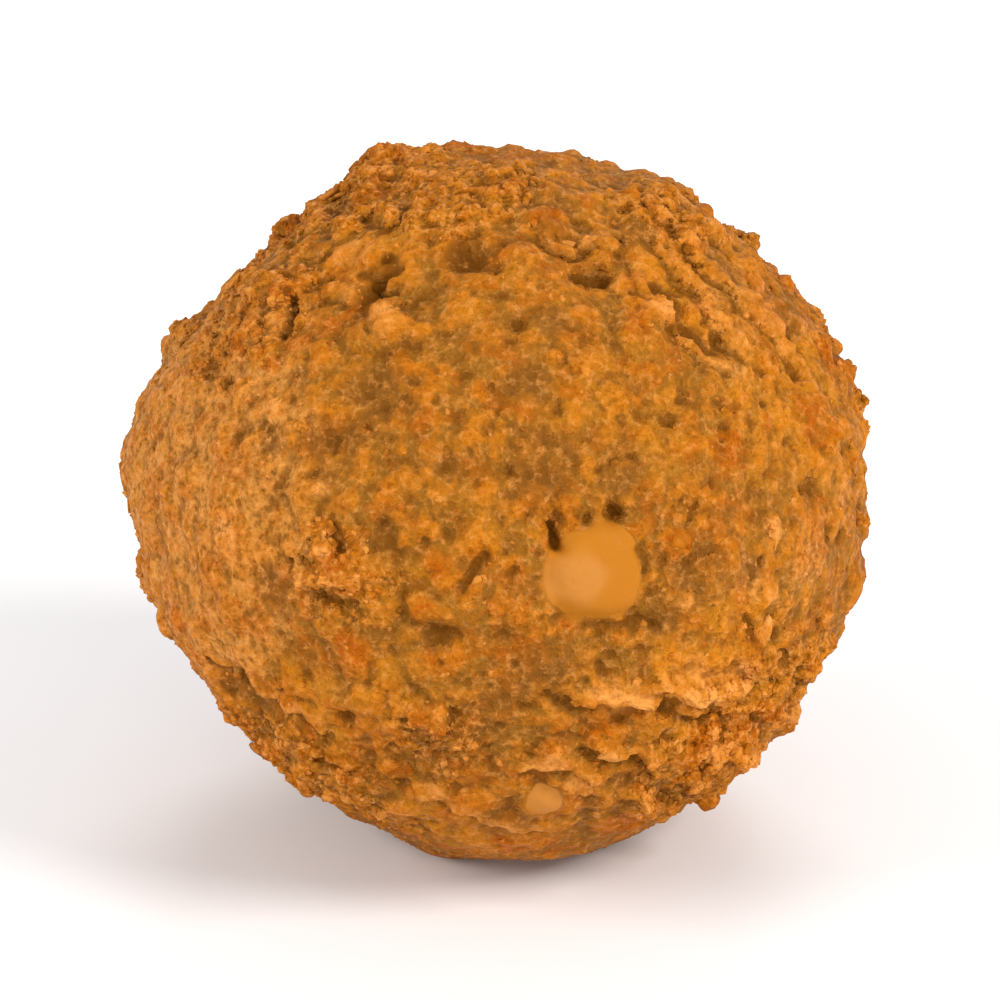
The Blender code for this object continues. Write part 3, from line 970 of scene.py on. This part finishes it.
class FALAFEL_OT_flakes(bpy.types.Operator):
    """Sets torn flakes into the crust"""

    bl_idname = "falafel.flakes"
    bl_label = "Flakes"

    def execute(self, context):
        sizes = context.scene.falafel_sizes
        draw = np.random.default_rng(FLAKE_SEED)
        skin = bpy.data.objects["crust"]
        ways, distances = ways_from_middle(coordinates(skin.data))
        frames, scales, points, tints = [], [], [], []
        for clock, lean, long_side, short_side, turn, lift in FLAKES:
            outward = direction_of(clock, lean)
            reach = distances[np.argmax(ways @ outward)]
            frames.append(flake_axes(outward, turn, lift))
            scales.append(np.array((long_side, short_side, short_side)) * MM)
            points.append(BALL_CENTRE + outward * (reach - FLAKE_SUNK * MM))
            tints.append(draw.uniform(0.8, 1.0))
        crumbly = read_attribute(skin, "crumbly")
        clear = fade(coordinates(skin.data)[:, 2], 1.0 * MM, 2.0 * MM)
        clear *= 1.0 - read_attribute(skin, "bare")
        small_points, outward, _ = spots_on(skin, sizes.small_flakes, (0.1 + crumbly) * clear, draw)
        for point, way in zip(small_points, outward):
            size = draw.uniform(0.6, 1.3) * MM
            frames.append(flake_axes(way, draw.uniform(0.0, 360.0), draw.uniform(2.0, 14.0)))
            scales.append(size * np.array((1.0, draw.uniform(0.5, 0.85), draw.uniform(0.6, 1.0))))
            points.append(point - way * SMALL_FLAKE_SUNK * MM)
            tints.append(draw.uniform(0.2, 0.8))
        shapes = flake_shapes(FLAKE_SHAPE_SEED)
        kinds = draw.integers(0, len(shapes), len(points))
        depths = np.full(len(points), 0.5)
        lips = np.zeros(len(points))
        tints = np.array(tints)
        piece = joined_copies("torn_flakes", shapes, kinds, frames, scales, points, tints, depths, lips)
        piece.data.shade_smooth()
        piece.data.materials.append(flake_material(context))
        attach(piece, "root")
        return {"FINISHED"}


class Shading:
    """A material's nodes, added one by one and joined as they are made."""

    def __init__(self, name):
        self.material = bpy.data.materials.new(name)
        self.material.use_nodes = True
        self.tree = self.material.node_tree
        self.surface = self.tree.nodes["Principled BSDF"]
        self.place = self.node("ShaderNodeTexCoord").outputs["Object"]

    def node(self, kind, inputs=None, **settings):
        """Adds a node, with settings on it and values or links on its inputs."""
        made = self.tree.nodes.new(kind)
        for name, value in settings.items():
            setattr(made, name, value)
        for key, value in (inputs or {}).items():
            self.feed(made.inputs[key], value)
        return made

    def feed(self, socket, value):
        """Links a node's output to a socket, or sets a number, a colour or a vector on it."""
        if isinstance(value, bpy.types.NodeSocket):
            self.tree.links.new(value, socket)
        elif isinstance(value, (int, float)):
            socket.default_value = value
        elif socket.type == "RGBA":
            socket.default_value = (*value, 1.0)
        else:
            socket.default_value = value

    def kept(self, name):
        """A mask that the mesh keeps under this name."""
        return self.node("ShaderNodeAttribute", attribute_name=name).outputs["Fac"]

    def clouds(self, size_mm, roughness):
        """Cloudy noise with features of this size."""
        inputs = {"Vector": self.place, "Scale": 1.0 / (size_mm * MM), "Roughness": roughness}
        return self.node("ShaderNodeTexNoise", inputs).outputs["Fac"]

    def step(self, value, low, high, to_low=0.0, to_high=1.0):
        """Maps value from low..high to to_low..to_high, smoothly and held at the ends."""
        inputs = {"Value": value, "From Min": low, "From Max": high, "To Min": to_low, "To Max": to_high}
        return self.node("ShaderNodeMapRange", inputs, interpolation_type="SMOOTHSTEP").outputs["Result"]

    def times(self, first, second):
        """Two values multiplied."""
        return self.node("ShaderNodeMath", {0: first, 1: second}, operation="MULTIPLY").outputs[0]

    def larger(self, first, second):
        """The larger of two values."""
        return self.node("ShaderNodeMath", {0: first, 1: second}, operation="MAXIMUM").outputs[0]

    def blend(self, share, below, above):
        """Lays one colour over another by share."""
        inputs = {"Factor": share, 6: below, 7: above}
        return self.node("ShaderNodeMix", inputs, data_type="RGBA").outputs[2]

    def finish(self, **looks):
        """Gives the surface these looks, named for its sockets with an underscore for each space."""
        for name, value in looks.items():
            self.feed(self.surface.inputs[name.replace("_", " ")], value)
        return self.material


def fried_colour(shading, colours, small, fine):
    """The crust's colour: layers over the plain dough, each covering those before it by its share."""
    tint = shading.kept("tint")
    hollow = shading.kept("hollow")
    olive_share = shading.step(small, 0.35, 0.62, 0.90, 0.45)
    toast_place = shading.step(shading.kept("mottled"), 0.55, 1.0, 0.0, 0.6)
    toast_place = shading.larger(shading.kept("toasted"), toast_place)
    toast_share = shading.step(small, 0.40, 0.56, 0.25, 0.95)
    sand_share = shading.step(small, 0.30, 0.65, 0.35, 0.85)
    grainy = shading.step(shading.kept("grainy"), 0.0, 1.0, 0.55, 0.90)
    lip = shading.larger(shading.kept("lip"), shading.times(shading.kept("pale"), 0.80))
    lip_share = shading.times(lip, shading.step(small, 0.42, 0.60, 0.15, 0.95))
    layers = (
        # The golden share is partly painted light on the sides round the middle.
        (shading.kept("golden"), colours.golden),
        (shading.times(shading.kept("sandy"), sand_share), colours.sandy),
        (shading.step(small, 0.50, 0.32, 0.0, 0.50), colours.olive),
        # Partly browning, partly painted light: what stands proud is painted crisp orange.
        (shading.step(hollow, 0.46, 0.16, 0.0, 0.40), colours.crisp),
        (shading.times(toast_place, toast_share), colours.toasted),
        (shading.step(tint, 0.54, 0.72, 0.0, 0.40), colours.crisp),
        (shading.step(tint, 0.76, 1.0, 0.0, 0.45), colours.pale),
        (shading.step(tint, 0.42, 0.16, 0.0, 0.50), colours.toasted),
        (shading.times(shading.kept("olive"), olive_share), colours.olive),
        # Painted shade: the hollows are darkened to deep brown.
        (shading.step(hollow, 0.54, 0.82, 0.0, 0.60), colours.deep),
        (shading.times(lip, 0.6), colours.crisp),
        (lip_share, colours.pale),
        (shading.times(shading.step(fine, 0.46, 0.84), grainy), colours.pale),
        # Random dark speckle, in the same deep brown as the painted shade.
        (shading.times(shading.step(fine, 0.52, 0.22), grainy), colours.deep),
        # Painted shade: the deepest hollows are darkened to the pit colour.
        (shading.step(hollow, 0.80, 1.0, 0.0, 0.50), colours.pore),
    )
    shade = colours.dough
    for share, coat in layers:
        shade = shading.blend(share, shade, coat)
    return shade


def fried_finish(shading, shade, roughness, relief, depth_mm):
    """Finishes a fried surface: a little light passes into it, as into bread, and it has a faint sheen."""
    bump = {"Height": relief, "Distance": depth_mm * MM}
    return shading.finish(
        Base_Color=shade,
        Roughness=roughness,
        Normal=shading.node("ShaderNodeBump", bump).outputs["Normal"],
        Subsurface_Weight=0.05,
        Subsurface_Radius=(1.0, 0.45, 0.12),
        Subsurface_Scale=0.6 * MM,
        Specular_IOR_Level=0.08,
        Specular_Tint=(1.0, 0.80, 0.50),
    )


def crust_material(context):
    """Fried crust, shared by the skin and the crumbs."""
    existing = bpy.data.materials.get("fried_crust_surface")
    if existing:
        return existing
    colours = context.scene.falafel_colours
    shading = Shading("fried_crust_surface")
    small = shading.clouds(CRUST_BLOTCH, 0.6)
    fine = shading.clouds(CRUST_SPECKLE, 0.70)
    shade = fried_colour(shading, colours, small, fine)
    chickpea = shading.blend(shading.step(small, 0.35, 0.65, 0.0, 0.5), colours.chickpea, colours.golden)
    chickpea = shading.blend(shading.kept("palest"), chickpea, colours.chickpea_pale)
    chickpea = shading.blend(shading.step(fine, 0.50, 0.25, 0.0, 0.35), chickpea, colours.golden)
    bare = shading.step(shading.kept("bare"), 0.25, 0.8)
    shade = shading.blend(bare, shade, chickpea)
    # Painted shade inside open bubbles and slits.
    shade = shading.blend(shading.step(shading.kept("pore"), 0.15, 0.85, 0.0, 0.8), shade, colours.pore)
    roughness = shading.step(fine, 0.35, 0.7, 0.66, 0.42)
    relief = shading.times(fine, shading.step(bare, 0.0, 1.0, 1.0, 0.15))
    return fried_finish(shading, shade, roughness, relief, CRUST_BUMP)


def flake_material(context):
    """Torn flakes: golden to toasted like the crust, paler where they are thin and dry."""
    colours = context.scene.falafel_colours
    shading = Shading("torn_flake_surface")
    small = shading.clouds(FLAKE_BLOTCH, 0.6)
    fine = shading.clouds(FLAKE_SPECKLE, 0.65)
    shade = fried_colour(shading, colours, small, fine)
    dry = shading.step(shading.kept("tint"), 0.5, 0.9, 0.0, 0.6)
    dry = shading.times(shading.step(small, 0.36, 0.62), dry)
    shade = shading.blend(dry, shade, colours.pale)
    roughness = shading.step(small, 0.3, 0.7, 0.42, 0.62)
    return fried_finish(shading, shade, roughness, fine, FLAKE_BUMP)


def floor_material(context):
    """A plain, matt, pale floor."""
    return Shading("pale_floor").finish(Base_Color=context.scene.falafel_stage.floor, Roughness=0.6)


def soft_light(name, place, size, power, tone):
    """An area light aimed at the ball."""
    data = bpy.data.lights.new(name, "AREA")
    data.shape = "DISK"
    data.size = size
    data.energy = power
    data.color = tone
    lamp = bpy.data.objects.new(name, data)
    lamp.location = place
    lamp.rotation_euler = (Vector(BALL_CENTRE) - Vector(place)).to_track_quat("-Z", "Y").to_euler()
    bpy.context.scene.collection.objects.link(lamp)


class FALAFEL_OT_stage(bpy.types.Operator):
    """Lays the pale floor, hangs the soft lights and places the camera"""

    bl_idname = "falafel.stage"
    bl_label = "Stage"

    def execute(self, context):
        stage = context.scene.falafel_stage
        only(None)
        bpy.ops.mesh.primitive_plane_add(size=FLOOR_WIDTH, location=(0.0, 0.0, LOW[2]))
        floor = bpy.context.object
        name_piece(floor, "floor")
        floor.data.materials.append(floor_material(context))
        for light in LIGHTS:
            soft_light(*light)
        world = bpy.data.worlds.new("studio")
        world.use_nodes = True
        background = world.node_tree.nodes["Background"]
        background.inputs["Color"].default_value = (1.0, 1.0, 1.0, 1.0)
        background.inputs["Strength"].default_value = ROOM_LIGHT
        context.scene.world = world
        context.scene.view_settings.view_transform = "Standard"
        out = Vector((0.0, -math.cos(stage.camera_height), math.sin(stage.camera_height)))
        data = bpy.data.cameras.new("camera")
        data.lens = data.sensor_width * stage.camera_distance / stage.picture_width
        data.clip_start = 0.01
        camera = bpy.data.objects.new("camera", data)
        camera.location = Vector(BALL_CENTRE) + out * stage.camera_distance
        camera.rotation_euler = out.to_track_quat("Z", "Y").to_euler()
        context.scene.collection.objects.link(camera)
        context.scene.camera = camera
        return {"FINISHED"}


class FALAFEL_PT_panel(bpy.types.Panel):
    """Lists the steps that dress the falafel"""

    bl_idname = "FALAFEL_PT_panel"
    bl_label = "Falafel"
    bl_space_type = "VIEW_3D"
    bl_region_type = "UI"
    bl_category = "Falafel"

    def draw(self, context):
        for group_name in GROUPS:
            group = getattr(context.scene, group_name)
            box = self.layout.box()
            for name in group.__annotations__:
                box.prop(group, name)
        for step in STEPS:
            self.layout.operator(step.bl_idname)


STEPS = (
    FALAFEL_OT_crust,
    FALAFEL_OT_crumbs,
    FALAFEL_OT_flakes,
    FALAFEL_OT_stage,
)
GROUPS = {
    "falafel_sizes": FalafelSizes,
    "falafel_colours": FalafelColours,
    "falafel_stage": FalafelStage,
}


def register():
    for group in GROUPS.values():
        bpy.utils.register_class(group)
    for step in STEPS:
        bpy.utils.register_class(step)
    bpy.utils.register_class(FALAFEL_PT_panel)
    for name, group in GROUPS.items():
        setattr(bpy.types.Scene, name, PointerProperty(type=group))


def unregister():
    for name in GROUPS:
        delattr(bpy.types.Scene, name)
    bpy.utils.unregister_class(FALAFEL_PT_panel)
    for step in reversed(STEPS):
        bpy.utils.unregister_class(step)
    for group in reversed(GROUPS.values()):
        bpy.utils.unregister_class(group)


def main():
    register()
    bpy.ops.falafel.crust()
    bpy.ops.falafel.crumbs()
    bpy.ops.falafel.flakes()
    bpy.ops.falafel.stage()


if __name__ == "__main__":
    main()
